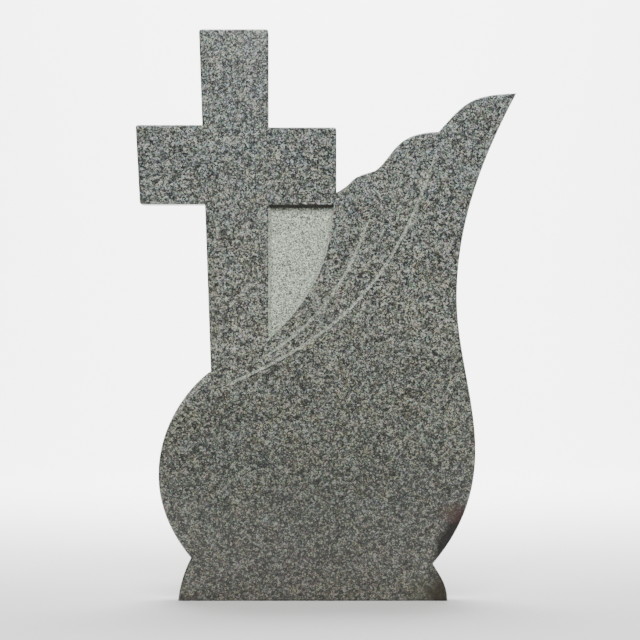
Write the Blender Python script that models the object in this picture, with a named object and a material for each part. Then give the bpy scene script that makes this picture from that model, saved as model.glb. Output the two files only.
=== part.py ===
"""Grave monument: a stele with a cross, a wing and a bulb-shaped body, all cut from one granite slab.

Run with: blender --background --python part.py
Metres, +Z up. The front faces -Y, and the origin is the middle of the foot's underside.
"""
import bmesh
import bpy
from mathutils import Vector

# The slab, and the small chamfer round its front and back
HEIGHT = 1.200
THICKNESS = 0.080
ARRIS = 0.004

# The cross: its right edge is plumb, its left edge tapers down to the shoulder, and the top of its
# right arm lies one small step below the top of its left arm
CROSS_RIGHT = -0.093
HEAD_WIDTH = 0.146
UPRIGHT_LOW_WIDTH = 0.121
ARM_SPAN = 0.422
ARM_RIGHT_REACH = 0.143
ARM_HEIGHT = 0.167
ARM_TOP_STEP = 0.005
ARM_END_LEAN = 0.009

# The foot
FOOT_WIDTH = 0.565

# The sunk panel between the upright and the wing
PANEL_DEPTH = 0.016
PANEL_WALL_SLOPE = 0.006

# The carved lines: a gentle flank runs down to the line, and a steep wall climbs back to the face
GROOVE_DEPTH = 0.004
GROOVE_FLANK = 0.019
GROOVE_WALL = 0.006

# The facet along the left shoulder
SHOULDER_FACET_WIDTH = 0.011
SHOULDER_FACET_FALL = 0.006

# The shares of their length over which the carved lines and the facet deepen and run out
SHORT_LINE_RISE = 0.24
SHORT_LINE_FADE = 0.20
LONG_LINE_RISE = 0.21
LONG_LINE_FADE = 0.05
FACET_RISE = 0.15
FACET_FADE = 0.60

# The free form, as shares of the height: (across, up), each row the control points of one curve
ARM_UNDERSIDE_UP = 0.6933
SHOULDER_UP = 0.402
NECK_LEFT = (-0.2129, 0.0752)
NECK_RIGHT = (0.2100, 0.0647)
BODY_TOP = (0.2523, 0.5297)
WING_TIP = (0.3566, 0.8880)
SHOULDER_CURVE = [(-0.2434, 0.3568), (-0.3283, 0.2131), NECK_LEFT]
FOOT_LEFT_CURVE = [NECK_LEFT, (-0.2240, 0.0544), (-0.2329, 0.0266)]
FOOT_RIGHT_CURVE = [(0.2360, 0.0306), (0.2219, 0.0430), NECK_RIGHT]
BODY_CURVE = [NECK_RIGHT, (0.3486, 0.2269), (0.2523, 0.3753), BODY_TOP]
RISE_CURVE = [BODY_TOP, (0.2523, 0.6572), (0.2940, 0.7703), WING_TIP]
PANEL_CURVE = [(0.0381, 0.7150), (0.0350, 0.6138), (0.0162, 0.5320), (-0.1000, 0.4371)]
LONG_LINE = [(0.2216, 0.8290), (0.2082, 0.7125), (0.1225, 0.5466), (0.0723, 0.4685), (-0.1767, 0.3670)]
SHORT_LINE = [(0.1050, 0.6896), (0.0787, 0.6149), (0.0471, 0.4783), (-0.1567, 0.3895)]

# The wing's edge steps down from its tip in three feathers: where each ends, and its two control
# points as shares of the step from its start to its end. The last one ends on the arm of the cross.
FEATHERS = [
    ((0.2203, 0.8206), (0.59, 0.04), (0.65, 0.21)),
    ((0.1086, 0.7520), (0.72, 0.01), (0.70, 0.67)),
]
LAST_FEATHER_UP = 0.7143
LAST_FEATHER_SHARES = ((0.78, 0.36), (0.42, 0.43))

# How finely the curves are drawn, how far cutters stand clear of the face, and how far a carved
# line's bottom rises above the face where it has run out
CHORD = 0.012
LIFT = 0.006
RUN_OUT = 0.0005

# Small steps of the reckoning: along a curve to find its direction, the halvings that find where two
# lines meet, and how near two points are joined
NUDGE = 0.001
HALVINGS = 40
JOINED_WITHIN = 0.00005

# What follows from those sizes; a corner's rounding is what its chamfer takes off and a little more
FRONT = -THICKNESS / 2
ARM_UNDERSIDE = ARM_UNDERSIDE_UP * HEIGHT
CORNER_RADIUS = ARRIS + 0.0015


def full_size(points):
    """Points given as shares of the height, in metres."""
    return [Vector((across * HEIGHT, up * HEIGHT)) for across, up in points]


def curve_point(controls, share):
    """A point of the Bezier curve of any order through these control points."""
    while len(controls) > 1:
        controls = [a.lerp(b, share) for a, b in zip(controls, controls[1:])]
    return controls[0]


def curve(controls):
    """The curve in steps of about one chord, both ends included."""
    length = sum((b - a).length for a, b in zip(controls, controls[1:]))
    steps = max(3, round(length / CHORD))
    return [curve_point(controls, i / steps) for i in range(steps + 1)]


def feather(start, end, first, second):
    """One stepped edge of the wing, its control points as shares of the step it makes."""
    step = end - start
    controls = [start + Vector((step.x * x, step.y * z)) for x, z in (first, second)]
    return curve([start, *controls, end])


def upright_left(up):
    """The tapering left edge of the upright at this height."""
    shoulder = SHOULDER_UP * HEIGHT
    share = (up - shoulder) / (HEIGHT - shoulder)
    return CROSS_RIGHT - UPRIGHT_LOW_WIDTH - share * (HEAD_WIDTH - UPRIGHT_LOW_WIDTH)


def wing_edge(arm_end):
    """The top of the wing, from its tip down the feathers to the arm of the cross."""
    start = full_size([WING_TIP])[0]
    points = [start]
    for end, first, second in FEATHERS:
        end = full_size([end])[0]
        points += feather(start, end, first, second)[1:]
        start = end
    end = Vector((arm_end, LAST_FEATHER_UP * HEIGHT))
    return points + feather(start, end, *LAST_FEATHER_SHARES)[1:]


def rounded(before, corner, after):
    """The three points of a corner with its tip eased off."""
    start = corner + (before - corner).normalized() * CORNER_RADIUS
    end = corner + (after - corner).normalized() * CORNER_RADIUS
    return [curve_point([start, corner, end], share) for share in (0, 0.5, 1)]


def cross_edge(arm_end):
    """The cross from the end of its right arm over the head to the left arm's underside."""
    arm_top = ARM_UNDERSIDE + ARM_HEIGHT
    right_arm_top = arm_top - ARM_TOP_STEP
    arm_start = arm_end - ARM_SPAN
    corners = [
        (arm_end, ARM_UNDERSIDE),
        (arm_end, right_arm_top),
        (CROSS_RIGHT, right_arm_top),
        (CROSS_RIGHT, HEIGHT),
        (upright_left(HEIGHT), HEIGHT),
        (upright_left(arm_top), arm_top),
        (arm_start, arm_top),
        (arm_start + ARM_END_LEAN, ARM_UNDERSIDE),
        (upright_left(ARM_UNDERSIDE), ARM_UNDERSIDE),
    ]
    corners = [Vector(corner) for corner in corners]
    edge = []
    for before, corner, after in zip(corners, corners[1:], corners[2:]):
        turns_out = (corner - before).cross(after - corner) > 0
        edge += rounded(before, corner, after) if turns_out else [corner]
    return [*edge, corners[-1]]


def shoulder_edge():
    """The left side of the body, from the upright's edge down to the neck above the foot."""
    shoulder = SHOULDER_UP * HEIGHT
    return curve([Vector((upright_left(shoulder), shoulder)), *full_size(SHOULDER_CURVE)])


def stone_outline():
    """The whole outline, anticlockwise as seen from the front, from the foot's left corner."""
    foot_left = Vector((-FOOT_WIDTH / 2, 0))
    foot_right = Vector((FOOT_WIDTH / 2, 0))
    arm_end = CROSS_RIGHT + ARM_RIGHT_REACH
    outline = [foot_left]
    outline += curve([foot_right, *full_size(FOOT_RIGHT_CURVE)])
    outline += curve(full_size(BODY_CURVE))[1:]
    outline += curve(full_size(RISE_CURVE))[1:]
    outline += wing_edge(arm_end)[1:]
    outline += cross_edge(arm_end)
    outline += shoulder_edge()
    outline += curve([*full_size(FOOT_LEFT_CURVE), foot_left])[1:-1]
    return outline


def flat_face(bm, outline, y):
    """A face in the plane y, looking to the front."""
    face = bm.faces.new([bm.verts.new((point.x, y, point.y)) for point in outline])
    face.normal_update()
    return face


def deepen(bm, face, distance):
    """Extrude a face backwards into a closed block and return the two end faces."""
    made = bmesh.ops.extrude_face_region(bm, geom=[face], use_keep_orig=True)
    verts = [item for item in made["geom"] if isinstance(item, bmesh.types.BMVert)]
    bmesh.ops.translate(bm, vec=(0, distance, 0), verts=verts)
    far = [item for item in made["geom"] if isinstance(item, bmesh.types.BMFace)][0]
    bmesh.ops.recalc_face_normals(bm, faces=bm.faces)
    return face, far


def finish_object(name, bm):
    """Put a bmesh into a new object of this name and link it to the scene."""
    bmesh.ops.recalc_face_normals(bm, faces=bm.faces)
    mesh = bpy.data.meshes.new(name)
    bm.to_mesh(mesh)
    bm.free()
    made = bpy.data.objects.new(name, mesh)
    bpy.context.scene.collection.objects.link(made)
    return made


def slab():
    """The stone with its outline and the small chamfer round its front and back."""
    bm = bmesh.new()
    face = flat_face(bm, stone_outline(), FRONT + ARRIS)
    ends = deepen(bm, face, THICKNESS - 2 * ARRIS)
    bmesh.ops.inset_individual(bm, faces=ends, thickness=ARRIS, depth=ARRIS, use_even_offset=True)
    return finish_object("stele", bm)


def crossing(height_at):
    """The share of a curve where height_at changes sign from above to below."""
    low, high = 0.0, 1.0
    for _ in range(HALVINGS):
        middle = (low + high) / 2
        if height_at(middle) > 0:
            low = middle
        else:
            high = middle
    return low


def panel_ring(bm, inset, y):
    """The panel's border, this far inside it: under the arm, along the wing and up the upright."""
    controls = full_size(PANEL_CURVE)
    left = CROSS_RIGHT + inset
    top = ARM_UNDERSIDE - inset

    def edge(share):
        along = curve_point(controls, share + NUDGE) - curve_point(controls, share - NUDGE)
        inwards = Vector((along.y, -along.x)).normalized()
        return curve_point(controls, share) + inwards * inset

    start = crossing(lambda share: edge(share).y - top)
    end = crossing(lambda share: edge(share).x - left)
    steps = len(curve(controls)) - 1
    border = [edge(start + (end - start) * i / steps) for i in range(steps + 1)]
    return [bm.verts.new((point.x, y, point.y)) for point in [Vector((left, top)), *border]]


def bridge(bm, rings):
    """Close a solid between rings of equal length, the first and the last filled."""
    for ring, after in zip(rings, rings[1:]):
        for j in range(len(ring)):
            k = (j + 1) % len(ring)
            bm.faces.new([ring[j], ring[k], after[k], after[j]])
    bm.faces.new(rings[0])
    bm.faces.new(rings[-1])


def panel_cutter():
    """The block that sinks the panel, with the same slope on all its walls."""
    bm = bmesh.new()
    flare = PANEL_WALL_SLOPE * LIFT / PANEL_DEPTH
    outer = panel_ring(bm, -flare, FRONT - LIFT)
    inner = panel_ring(bm, PANEL_WALL_SLOPE, FRONT + PANEL_DEPTH)
    bridge(bm, [outer, inner])
    return finish_object("panel_cutter", bm)


def eased(share):
    """A soft step from 0 to 1."""
    share = min(1.0, max(0.0, share))
    return share * share * (3 - 2 * share)


def swept_cutter(name, path, section):
    """A closed three-sided bar along a path; section gives its (across, sink) corners by share.

    Across points to the left of the way the path runs, seen from the front. Sink is into the stone.
    """
    bm = bmesh.new()
    rings = []
    for i, point in enumerate(path):
        ahead = path[min(i + 1, len(path) - 1)]
        behind = path[max(i - 1, 0)]
        along = (ahead - behind).normalized()
        side = Vector((-along.y, along.x))
        ring = []
        for across, sink in section(i / (len(path) - 1)):
            spot = point + side * across
            ring.append(bm.verts.new((spot.x, FRONT + sink, spot.y)))
        rings.append(ring)
    bridge(bm, rings)
    return finish_object(name, bm)


def groove_cutter(name, controls, rise, fade):
    """One carved line; rise and fade are the shares of its length over which it deepens and runs out."""
    def section(share):
        deep = eased(share / rise) * eased((1 - share) / fade)
        sink = GROOVE_DEPTH * deep - RUN_OUT * (1 - deep)
        wall = GROOVE_WALL / GROOVE_DEPTH
        flank = GROOVE_FLANK / GROOVE_DEPTH
        edge = GROOVE_WALL / 2
        bottom = edge - wall * sink
        return [(edge + wall * LIFT, -LIFT), (bottom, sink), (bottom - flank * (sink + LIFT), -LIFT)]

    return swept_cutter(name, curve(full_size(controls)), section)


def shoulder_cutter():
    """The sloping facet that follows the upper half of the left shoulder and fades out both ways."""
    def section(share):
        width = SHOULDER_FACET_WIDTH * eased(share / FACET_RISE) * eased((1 - share) / FACET_FADE)
        fall = SHOULDER_FACET_FALL / SHOULDER_FACET_WIDTH
        clear = 2 * LIFT
        return [(width + LIFT / fall, -LIFT), (-clear, -LIFT), (-clear, fall * (width + clear))]

    edge = shoulder_edge()
    return swept_cutter("shoulder_cutter", edge[:len(edge) // 2], section)


def cut(stone, cutter):
    """Take a cutter out of the stone with a live Boolean and hide it."""
    cutter.hide_render = True
    cutter.display_type = "WIRE"
    modifier = stone.modifiers.new(cutter.name, "BOOLEAN")
    modifier.operation = "DIFFERENCE"
    modifier.solver = "EXACT"
    modifier.object = cutter


def granite():
    """Polished grey granite."""
    material = bpy.data.materials.new("granite")
    material.use_nodes = True
    shader = material.node_tree.nodes["Principled BSDF"]
    shader.inputs["Base Color"].default_value = (0.18, 0.18, 0.165, 1)
    shader.inputs["Roughness"].default_value = 0.35
    shader.inputs["Metallic"].default_value = 0.0
    return material


for old in list(bpy.data.objects):
    bpy.data.objects.remove(old, do_unlink=True)

stele = slab()
cut(stele, panel_cutter())
cut(stele, groove_cutter("short_line_cutter", SHORT_LINE, SHORT_LINE_RISE, SHORT_LINE_FADE))
cut(stele, groove_cutter("long_line_cutter", LONG_LINE, LONG_LINE_RISE, LONG_LINE_FADE))
cut(stele, shoulder_cutter())
weld = stele.modifiers.new("weld", "WELD")
weld.merge_threshold = JOINED_WITHIN
stele.data.materials.append(granite())
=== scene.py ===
import math

import bmesh
import bpy
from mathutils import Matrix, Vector, noise


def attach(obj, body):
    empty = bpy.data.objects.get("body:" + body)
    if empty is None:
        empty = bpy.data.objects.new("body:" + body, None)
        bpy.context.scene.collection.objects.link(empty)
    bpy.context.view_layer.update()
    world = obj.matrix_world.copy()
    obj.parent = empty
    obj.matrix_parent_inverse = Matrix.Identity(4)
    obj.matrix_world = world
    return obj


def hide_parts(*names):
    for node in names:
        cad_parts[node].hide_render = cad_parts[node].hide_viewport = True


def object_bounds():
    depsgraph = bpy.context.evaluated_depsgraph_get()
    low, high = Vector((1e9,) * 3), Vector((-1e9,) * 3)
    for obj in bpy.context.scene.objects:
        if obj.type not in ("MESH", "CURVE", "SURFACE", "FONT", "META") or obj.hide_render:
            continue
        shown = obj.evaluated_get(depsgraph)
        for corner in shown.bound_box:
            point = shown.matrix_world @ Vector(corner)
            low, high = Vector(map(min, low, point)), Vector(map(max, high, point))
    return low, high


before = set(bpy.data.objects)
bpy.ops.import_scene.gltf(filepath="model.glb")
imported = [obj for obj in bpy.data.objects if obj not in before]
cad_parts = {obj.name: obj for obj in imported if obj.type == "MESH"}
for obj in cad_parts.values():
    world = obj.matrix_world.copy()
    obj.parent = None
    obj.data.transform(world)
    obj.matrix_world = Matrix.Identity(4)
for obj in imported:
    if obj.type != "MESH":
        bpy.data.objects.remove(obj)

cad_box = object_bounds()
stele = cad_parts["stele"]


# The stone
# One slab of medium-grained grey granite, sawn to 8 cm, cut to its outline with a wire saw and
# polished. The mesh is the CAD solid itself, with its triangles joined again to whole faces.

JOINED_WITHIN = 0.00002
FLAT_WITHIN = math.radians(0.4)
EASED_EDGE = 0.0011
EASED_STEPS = 2
EASED_ABOVE = math.radians(30)
SMOOTH_BELOW = math.radians(28)


def start_editing(piece):
    """Make this piece alone selected and active, and open it in edit mode with nothing selected."""
    bpy.ops.object.select_all(action="DESELECT")
    piece.select_set(True)
    bpy.context.view_layer.objects.active = piece
    bpy.ops.object.mode_set(mode="EDIT")
    bpy.ops.mesh.select_mode(type="FACE")
    bpy.ops.mesh.select_all(action="DESELECT")


def select_faces(piece, wanted):
    """Select just the faces for which wanted(centre, normal) holds."""
    bm = bmesh.from_edit_mesh(piece.data)
    for face in bm.faces:
        face.select_set(wanted(face.calc_center_median(), face.normal))
    bm.select_flush_mode()
    bmesh.update_edit_mesh(piece.data)


stone = bpy.data.objects.new("stone", stele.data.copy())
bpy.context.scene.collection.objects.link(stone)
stone.data.materials.clear()
start_editing(stone)
bpy.ops.mesh.select_all(action="SELECT")
bpy.ops.mesh.remove_doubles(threshold=JOINED_WITHIN)
bpy.ops.mesh.dissolve_limited(angle_limit=FLAT_WITHIN)
bpy.ops.object.mode_set(mode="OBJECT")

# The polisher's pad takes the sharpness off every edge, the chamfers' own too
easing = stone.modifiers.new("eased edges", "BEVEL")
easing.width = EASED_EDGE
easing.segments = EASED_STEPS
easing.limit_method = "ANGLE"
easing.angle_limit = EASED_ABOVE
easing.use_clamp_overlap = True
bpy.ops.object.modifier_apply(modifier=easing.name)
bpy.ops.object.shade_smooth_by_angle(angle=SMOOTH_BELOW)


# The floor of the sunk panel
# The sand has eaten it to a slightly uneven bed, so it is cut into a fine grid and its points are
# moved by a small random depth. Its rim stays where the walls meet it.

PANEL_FLOOR = -0.024
TOOTH_STEP = 0.0026
TOOTH_DEPTH = 0.0014
TOOTH_SIZE = 0.0050
FINE_TOOTH = 2.3
FINE_TOOTH_SHARE = 0.6


def panel_floor(centre, normal):
    """Whether a face is part of the panel's floor."""
    return abs(centre.y - PANEL_FLOOR) < 0.0002 and normal.y < -0.98


start_editing(stone)
select_faces(stone, panel_floor)
floor_points = [v.co.copy() for f in bmesh.from_edit_mesh(stone.data).faces if f.select for v in f.verts]
for axis in (Vector((1, 0, 0)), Vector((0, 0, 1))):
    low = min(point.dot(axis) for point in floor_points)
    high = max(point.dot(axis) for point in floor_points)
    for i in range(1, int((high - low) / TOOTH_STEP)):
        select_faces(stone, panel_floor)
        bpy.ops.mesh.bisect(plane_co=axis * (low + i * TOOTH_STEP), plane_no=axis)
select_faces(stone, panel_floor)
bm = bmesh.from_edit_mesh(stone.data)
for vert in bm.verts:
    if vert.link_faces and all(face.select for face in vert.link_faces):
        bed = noise.noise(vert.co / TOOTH_SIZE)
        bed += FINE_TOOTH_SHARE * noise.noise(vert.co / TOOTH_SIZE * FINE_TOOTH)
        vert.co.y += TOOTH_DEPTH * bed
bmesh.update_edit_mesh(stone.data)
bpy.ops.object.mode_set(mode="OBJECT")


# The granite itself
# Milky feldspar, grey quartz and black mica in grains of 2 to 5 mm, the mica in loose clusters.
# Every finish below shows this same grain, polished deep, sawn dull or blasted pale.

GRAIN_SIZE = 0.0029
FINE_GRAIN_SIZE = 0.0015
CLUSTER_SIZE = 0.0085
TINT_SIZE = 0.030
MOTLEY_SIZE = 0.0024


def add(tree, kind, **sockets):
    """Add a shader node and set its inputs by name: a value sets the socket, a socket is linked."""
    node = tree.nodes.new(kind)
    for name, value in sockets.items():
        socket = node.inputs[name.replace("_", " ")]
        if isinstance(value, bpy.types.NodeSocket):
            tree.links.new(value, socket)
        else:
            socket.default_value = value
    return node


def math_of(tree, operation, first, second=0.0, clamp=False):
    """A Math node's result from two values or sockets."""
    node = tree.nodes.new("ShaderNodeMath")
    node.operation = operation
    node.use_clamp = clamp
    for socket, value in zip(node.inputs, (first, second)):
        if isinstance(value, bpy.types.NodeSocket):
            tree.links.new(value, socket)
        else:
            socket.default_value = value
    return node.outputs[0]


def colour_mix(tree, share, first, second, blend="MIX"):
    """A colour mixed from two, each a colour or a socket."""
    node = tree.nodes.new("ShaderNodeMix")
    node.data_type = "RGBA"
    node.blend_type = blend
    for socket, value in ((node.inputs[0], share), (node.inputs[6], first), (node.inputs[7], second)):
        if isinstance(value, bpy.types.NodeSocket):
            tree.links.new(value, socket)
        else:
            socket.default_value = value
    return node.outputs[2]


def ramp_of(tree, value, stops):
    """A colour ramp over a value, its stops given as (position, colour)."""
    node = tree.nodes.new("ShaderNodeValToRGB")
    elements = node.color_ramp.elements
    while len(elements) < len(stops):
        elements.new(0.5)
    for element, (position, colour) in zip(elements, stops):
        element.position = position
        element.color = colour
    tree.links.new(value, node.inputs["Fac"])
    return node.outputs["Color"]


def grains(tree, place, size):
    """A random value from 0 to 1 for each mineral grain of this size."""
    cells = add(tree, "ShaderNodeTexVoronoi", Vector=place, Scale=1 / size)
    parts = add(tree, "ShaderNodeSeparateColor", Color=cells.outputs["Color"])
    return parts.outputs[0]


def clouds(tree, place, size, detail=2.0):
    """Soft noise of this size, about 0.5."""
    return add(tree, "ShaderNodeTexNoise", Vector=place, Scale=1 / size, Detail=detail).outputs["Fac"]


MINERALS = [
    (0.00, (0.004, 0.005, 0.006, 1)),
    (0.22, (0.014, 0.015, 0.016, 1)),
    (0.38, (0.075, 0.078, 0.076, 1)),
    (0.54, (0.140, 0.143, 0.134, 1)),
    (0.74, (0.262, 0.265, 0.242, 1)),
    (1.00, (0.610, 0.610, 0.562, 1)),
]
COARSE_SHARE = 0.78
FINE_SHARE = 0.80
CLUSTER_SHARE = 1.10
TINTS = [
    (0.35, (0.94, 0.98, 1.00, 1)),
    (0.65, (1.00, 0.98, 0.91, 1)),
]
MOTLEY = 0.34


def granite_grain(tree, place):
    """The grain's colour, and its mineral from 0, black mica, to 1, milky feldspar."""
    mineral = 0.5 - (COARSE_SHARE + FINE_SHARE + CLUSTER_SHARE) / 2
    for layer, share in (
        (grains(tree, place, GRAIN_SIZE), COARSE_SHARE),
        (grains(tree, place, FINE_GRAIN_SIZE), FINE_SHARE),
        (clouds(tree, place, CLUSTER_SIZE), CLUSTER_SHARE),
    ):
        mineral = math_of(tree, "ADD", math_of(tree, "MULTIPLY", layer, share), mineral)
    mineral = math_of(tree, "MINIMUM", math_of(tree, "MAXIMUM", mineral, 0.0), 1.0)
    colour = ramp_of(tree, mineral, MINERALS)
    tint = ramp_of(tree, clouds(tree, place, TINT_SIZE, 4.0), TINTS)
    colour = colour_mix(tree, 1.0, colour, tint, "MULTIPLY")
    cells = add(tree, "ShaderNodeTexVoronoi", Vector=place, Scale=1 / MOTLEY_SIZE)
    return colour_mix(tree, MOTLEY, colour, cells.outputs["Color"], "MULTIPLY"), mineral


# Dirt, and painted light and shade, on the granite
# The lower right edge is coloured near black, reddish brown at its top, and damp and soil have
# blackened the foot's outer end, with moss beside it. A dark film of dirt thickens towards the
# ground. The stone is painted warmer and darker towards the ground and lighter and cooler towards
# the top, as painted light and shade, and the panel's wall under the arm is painted near black as
# the arm's shadow, which fades out down the top of the panel's floor.

# The near black of the lower right edge patch
LOWER_RIGHT_DARK = (0.015, 0.0138, 0.0125, 1)
# Painted shade: the arm's shadow, near black on the panel's wall under the arm and fading down the top of
# its floor
UNDER_ARM_SHADE = (0.036, 0.036, 0.032, 1)
SOIL = (0.028, 0.023, 0.014, 1)
RUST = (0.052, 0.019, 0.014, 1)
MOSS = (0.070, 0.074, 0.036, 1)
# Painted light and shade by height: lighter and cooler towards the top, darker and warmer towards the
# ground
HEIGHT_SHADING = [
    (0.03, (0.70, 0.67, 0.61, 1)),
    (0.20, (0.645, 0.665, 0.62, 1)),
    (0.45, (0.85, 0.875, 0.82, 1)),
    (0.62, (1.01, 1.035, 0.97, 1)),
    (0.95, (0.93, 1.00, 1.02, 1)),
]
FILM = (0.088, 0.090, 0.080, 1)
FILM_SHARES = [
    (0.02, (0.20, 0.20, 0.20, 1)),
    (0.30, (0.06, 0.06, 0.06, 1)),
    (0.60, (0.00, 0.00, 0.00, 1)),
]


# Each patch: its colour and how much of it covers the grain, its middle, its half sizes, its turn to
# the right, how far its ragged rim wanders, and the share of it over which it fades
PATCHES = {
    "moss": (MOSS, 0.42, (0.243, 0.0, 0.014), (0.062, 0.20, 0.042), 0, 0.034, 0.80),
    "foot": (SOIL, 0.88, (0.294, 0.0, 0.012), (0.078, 0.20, 0.074), -15, 0.030, 0.50),
    "edge": (LOWER_RIGHT_DARK, 0.96, (0.300, 0.0, 0.133), (0.040, 0.20, 0.105), 29, 0.022, 0.42),
    "rust": (RUST, 0.60, (0.297, 0.0, 0.184), (0.044, 0.20, 0.032), 0, 0.028, 0.75),
}
RIM_SIZE = 1 / 55


def patch(tree, place, centre, radii, turn, ragged, softness):
    """An oval of 1 inside and 0 outside, its rim softened and moved by ragged noise."""
    rim = add(tree, "ShaderNodeTexNoise", Vector=place, Scale=1 / RIM_SIZE, Detail=4.0)
    moved = tree.nodes.new("ShaderNodeVectorMath")
    moved.operation = "MULTIPLY_ADD"
    moved.inputs[1].default_value = (ragged, 0, ragged)
    moved.inputs[2].default_value = (-ragged / 2, 0, -ragged / 2)
    tree.links.new(rim.outputs["Color"], moved.inputs[0])
    shifted = tree.nodes.new("ShaderNodeVectorMath")
    tree.links.new(place, shifted.inputs[0])
    tree.links.new(moved.outputs[0], shifted.inputs[1])
    oval = tree.nodes.new("ShaderNodeMapping")
    oval.vector_type = "TEXTURE"
    oval.inputs["Location"].default_value = centre
    oval.inputs["Rotation"].default_value = (0, math.radians(turn), 0)
    oval.inputs["Scale"].default_value = radii
    tree.links.new(shifted.outputs[0], oval.inputs["Vector"])
    ball = tree.nodes.new("ShaderNodeTexGradient")
    ball.gradient_type = "SPHERICAL"
    tree.links.new(oval.outputs[0], ball.inputs[0])
    return math_of(tree, "MULTIPLY", ball.outputs["Fac"], 1 / softness, clamp=True)


def dirtied_and_shaded(tree, place, colour):
    """The granite's colour with its dirt and its painted light and shade by height, and where the dullest
    of it lies.
    """
    height = add(tree, "ShaderNodeSeparateXYZ", Vector=place).outputs["Z"]
    # Painted light and shade: the colour is lightened and cooled towards the top and darkened towards the
    # ground
    colour = colour_mix(tree, 1.0, colour, ramp_of(tree, height, HEIGHT_SHADING), "MULTIPLY")
    colour = colour_mix(tree, ramp_of(tree, height, FILM_SHARES), colour, FILM)
    lies = {}
    for name, (stain, cover, *shape) in PATCHES.items():
        lies[name] = patch(tree, place, *shape)
        colour = colour_mix(tree, math_of(tree, "MULTIPLY", lies[name], cover), colour, stain)
    return colour, math_of(tree, "MAXIMUM", lies["edge"], lies["foot"])


# The finishes of its faces
# The front and the edges are polished, the sunk panel and the walls of the carved lines are left as
# the sandblast leaves them, and the back and underside are as the saw leaves them.

POLISH = 0.32
FELDSPAR_POLISH = 0.24
DIRT_DULLNESS = 0.85
POLISH_UNEVEN = 0.0003
CLOUD_SIZE = 0.16
CLOUDS = [
    (0.30, (0.90, 0.90, 0.91, 1)),
    (0.70, (1.00, 1.00, 0.98, 1)),
]
PIT_SIZE = 0.0017
PITS = [
    (0.00, (0.03, 0.04, 0.03, 1)),
    (0.42, (0.26, 0.30, 0.24, 1)),
    (1.00, (0.92, 1.00, 0.85, 1)),
]
# How far down the panel's floor the painted shade under the arm reaches
SHADE_BELOW_ARM = 0.0055
PANEL_BRUISED = 0.90
LINE_BRUISED = 0.48
FACET_BRUISED = 0.22
BLASTED_DULLNESS = 0.92
BLASTED_TOOTH = 0.0010
BLASTED_TOOTH_SIZE = 1 / 620
POWDER = (0.20, 0.21, 0.195, 1)
POWDERED = 0.35
SAWN_DULLNESS = 0.72
SAW_MARKS = 38.0
SAW_MARK_DEPTH = 0.0008


def new_material(name):
    """An empty Principled material: its node tree, its shader and the place on the stone."""
    material = bpy.data.materials.new(name)
    material.use_nodes = True
    tree = material.node_tree
    place = tree.nodes.new("ShaderNodeTexCoord").outputs["Object"]
    return material, tree, tree.nodes["Principled BSDF"], place


def polished_granite():
    """Dark and deep, the mica a little duller than the rest."""
    material, tree, shader, place = new_material("polished granite")
    colour, mineral = granite_grain(tree, place)
    cloud = ramp_of(tree, clouds(tree, place, CLOUD_SIZE), CLOUDS)
    colour = colour_mix(tree, 1.0, colour, cloud, "MULTIPLY")
    colour, dirt = dirtied_and_shaded(tree, place, colour)
    tree.links.new(colour, shader.inputs["Base Color"])
    gain = math_of(tree, "MULTIPLY", mineral, POLISH - FELDSPAR_POLISH)
    dull = math_of(tree, "SUBTRACT", POLISH, gain)
    dull = math_of(tree, "MAXIMUM", dull, math_of(tree, "MULTIPLY", dirt, DIRT_DULLNESS))
    tree.links.new(dull, shader.inputs["Roughness"])
    bump = add(tree, "ShaderNodeBump", Strength=0.10, Distance=POLISH_UNEVEN, Height=mineral)
    tree.links.new(bump.outputs["Normal"], shader.inputs["Normal"])
    return material


def blasted_granite(name, bruised, shade_top=None):
    """Pale and matt: the sand has bruised this share of every grain white and left a fine tooth.

    Where shade_top is given, painted shade, the arm's shadow, fades out downwards from that height.
    """
    material, tree, shader, place = new_material(name)
    colour = granite_grain(tree, place)[0]
    frosted = ramp_of(tree, grains(tree, place, PIT_SIZE), PITS)
    frosted = colour_mix(tree, bruised, colour, frosted)
    # Painted shade: the arm's shadow darkens the floor just below the arm
    if shade_top:
        height = add(tree, "ShaderNodeSeparateXYZ", Vector=place).outputs["Z"]
        above = math_of(tree, "SUBTRACT", height, shade_top - SHADE_BELOW_ARM)
        shade_share = math_of(tree, "MULTIPLY", above, 1 / SHADE_BELOW_ARM, clamp=True)
        frosted = colour_mix(tree, math_of(tree, "MULTIPLY", shade_share, shade_share), frosted, UNDER_ARM_SHADE)
    tree.links.new(frosted, shader.inputs["Base Color"])
    shader.inputs["Roughness"].default_value = BLASTED_DULLNESS
    tooth = clouds(tree, place, BLASTED_TOOTH_SIZE, 3.0)
    bump = add(tree, "ShaderNodeBump", Strength=0.8, Distance=BLASTED_TOOTH, Height=tooth)
    tree.links.new(bump.outputs["Normal"], shader.inputs["Normal"])
    return material


def shaded_wall_under_arm():
    """Near black: painted shade, the arm's shadow coloured into the wall under it."""
    material, _, shader, _ = new_material("painted shade under the arm")
    shader.inputs["Base Color"].default_value = UNDER_ARM_SHADE
    shader.inputs["Roughness"].default_value = 0.95
    shader.inputs["Specular IOR Level"].default_value = 0.15
    return material


def sawn_granite():
    """Dull grey with the shallow, slightly bowed marks of the gang saw."""
    material, tree, shader, place = new_material("sawn granite")
    powdered = colour_mix(tree, POWDERED, granite_grain(tree, place)[0], POWDER)
    tree.links.new(dirtied_and_shaded(tree, place, powdered)[0], shader.inputs["Base Color"])
    shader.inputs["Roughness"].default_value = SAWN_DULLNESS
    marks = add(tree, "ShaderNodeTexWave", Vector=place, Scale=SAW_MARKS, Distortion=1.6, Detail=3.0)
    marks.bands_direction = "Z"
    bump = add(tree, "ShaderNodeBump", Strength=0.35, Distance=SAW_MARK_DEPTH, Height=marks.outputs["Fac"])
    tree.links.new(bump.outputs["Normal"], shader.inputs["Normal"])
    return material


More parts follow.
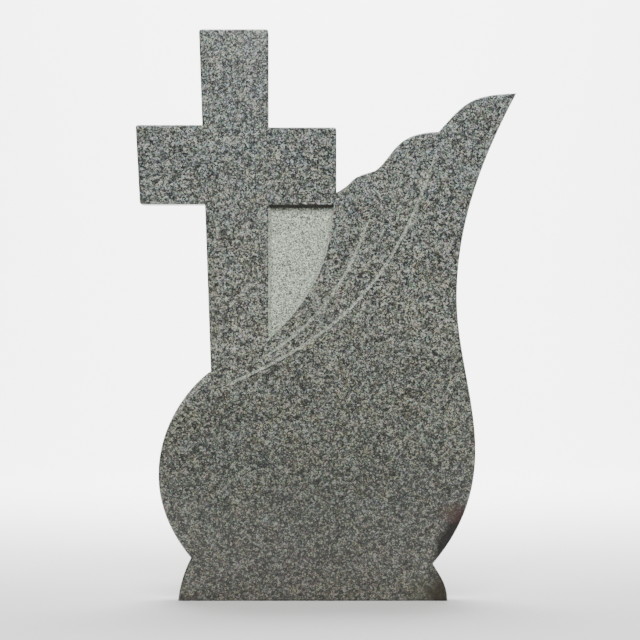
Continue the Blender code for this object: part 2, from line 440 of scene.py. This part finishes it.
FACE = cad_box[0][1]
PANEL_LOW = Vector((-0.094, 0.53))
PANEL_HIGH = Vector((0.050, 0.8335))
PANEL_FLOOR_TOP = 0.826
LINES_TOP = 0.0003
LINES_BOTTOM = 0.0045
LINES_LEFT = -0.213
SHOULDER_LOW = 0.25
SHOULDER_TOP = 0.50


def in_panel(centre, normal):
    """Whether a face is the panel's floor or one of its walls."""
    inside = PANEL_LOW.x < centre.x < PANEL_HIGH.x and PANEL_LOW.y < centre.z < PANEL_HIGH.y
    return inside and FACE + LINES_BOTTOM < centre.y < 0


def under_arm(centre, normal):
    """Whether a face is the panel's wall under the arm of the cross."""
    return in_panel(centre, normal) and normal.z < -0.7


def on_line_wall(centre, normal):
    """Whether a face is the steep wall of a carved line, which looks up and to the left."""
    carved = FACE + LINES_TOP < centre.y < FACE + LINES_BOTTOM and centre.x > LINES_LEFT
    return carved and -0.93 < normal.y < -0.75 and normal.x < -0.15 and normal.z > 0.05


def on_shoulder_facet(centre, normal):
    """Whether a face is the facet along the left shoulder, into which the long line runs."""
    near = centre.x < LINES_LEFT and SHOULDER_LOW < centre.z < SHOULDER_TOP
    return near and -0.96 < normal.y < -0.75 and normal.x < -0.1 and normal.z > 0.1


def on_sawn_side(centre, normal):
    """Whether a face is part of the back or the underside."""
    return normal.y > 0.9 or normal.z < -0.99 and centre.z < 0.001


# A face takes the first finish that claims it
finishes = (
    (sawn_granite(), on_sawn_side),
    # Painted shade: the wall under the arm is coloured near black
    (shaded_wall_under_arm(), under_arm),
    (blasted_granite("blasted panel", PANEL_BRUISED, PANEL_FLOOR_TOP), in_panel),
    (blasted_granite("blasted line", LINE_BRUISED), on_line_wall),
    (blasted_granite("ground facet", FACET_BRUISED), on_shoulder_facet),
    (polished_granite(), lambda centre, normal: True),
)
for finish, _ in finishes:
    stone.data.materials.append(finish)
for face in stone.data.polygons:
    claims = [claimed(face.center, face.normal) for _, claimed in finishes]
    face.material_index = claims.index(True)

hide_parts("stele")
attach(stone, "root")


# The studio
# A wide pale floor that curves up into a pale wall far behind the stone, so that the stone can also
# be looked at from its sides and its back.

FLOOR_WIDTH = 28.0
FLOOR_FRONT = -13.0
WALL_AWAY = 8.0
WALL_HEIGHT = 8.0
COVE = 2.5
COVE_STEPS = 24
PAPER = (0.86, 0.86, 0.85, 1)
PAPER_DULLNESS = 0.9

bpy.ops.mesh.primitive_plane_add(size=1, location=(0, 0, 0))
floor = bpy.context.object
floor.name = "floor"
floor.scale = (FLOOR_WIDTH, WALL_AWAY - FLOOR_FRONT, 1)
floor.location = (0, (WALL_AWAY + FLOOR_FRONT) / 2, 0)
bpy.ops.object.transform_apply(location=True, rotation=False, scale=True)
bpy.ops.object.mode_set(mode="EDIT")
bpy.ops.mesh.select_mode(type="EDGE")
bpy.ops.mesh.select_all(action="DESELECT")
bm = bmesh.from_edit_mesh(floor.data)
for edge in bm.edges:
    edge.select_set(all(vert.co.y > WALL_AWAY - 0.01 for vert in edge.verts))
bmesh.update_edit_mesh(floor.data)
bpy.ops.mesh.extrude_region_move(TRANSFORM_OT_translate={"value": (0, 0, WALL_HEIGHT)})
bpy.ops.object.mode_set(mode="OBJECT")
cove = floor.modifiers.new("cove", "BEVEL")
cove.width = COVE
cove.segments = COVE_STEPS
cove.limit_method = "ANGLE"
bpy.ops.object.modifier_apply(modifier=cove.name)
bpy.ops.object.shade_smooth()

paper = bpy.data.materials.new("pale paper")
paper.use_nodes = True
paper.node_tree.nodes["Principled BSDF"].inputs["Base Color"].default_value = PAPER
paper.node_tree.nodes["Principled BSDF"].inputs["Roughness"].default_value = PAPER_DULLNESS
floor.data.materials.append(paper)


# The light
# One large soft light high in front of the stone, one behind it that whitens the floor, one farther
# back that whitens the wall, and a dim room around them.

# Each light: its place, the point that it looks at, its size and its power
LIGHTS = {
    "main light": ((0.05, -2.7, 3.4), (0.0, 0.0, 0.75), 1.4, 177),
    "floor light": ((0.0, 1.3, 3.6), (0.0, 1.7, 0.0), 1.6, 200),
    "wall light": ((0.0, 3.6, 4.6), (0.0, 8.0, 1.2), 3.0, 1800),
}
ROOM_LIGHT = 0.12

for name, (place, aim, size, power) in LIGHTS.items():
    data = bpy.data.lights.new(name, "AREA")
    data.shape = "SQUARE"
    data.size = size
    data.energy = power
    lamp = bpy.data.objects.new(name, data)
    bpy.context.scene.collection.objects.link(lamp)
    lamp.location = place
    lamp.rotation_euler = (Vector(aim) - Vector(place)).to_track_quat("-Z", "Y").to_euler()

world = bpy.data.worlds.new("room")
world.use_nodes = True
world.node_tree.nodes["Background"].inputs["Color"].default_value = (1.0, 1.0, 1.0, 1)
world.node_tree.nodes["Background"].inputs["Strength"].default_value = ROOM_LIGHT
bpy.context.scene.world = world


# The camera
# Straight in front at half the stone's height, far enough off that the edges don't show.

CAMERA_AWAY = 6.0
VIEW_WIDTH = 1.3427
VIEW_CENTRE = (0.0154, 0.5895)

camera = bpy.data.objects.new("camera", bpy.data.cameras.new("camera"))
bpy.context.scene.collection.objects.link(camera)
camera.location = (VIEW_CENTRE[0], FACE - CAMERA_AWAY, VIEW_CENTRE[1])
camera.rotation_euler = (math.radians(90), 0, 0)
camera.data.lens = camera.data.sensor_width * CAMERA_AWAY / VIEW_WIDTH
bpy.context.scene.camera = camera
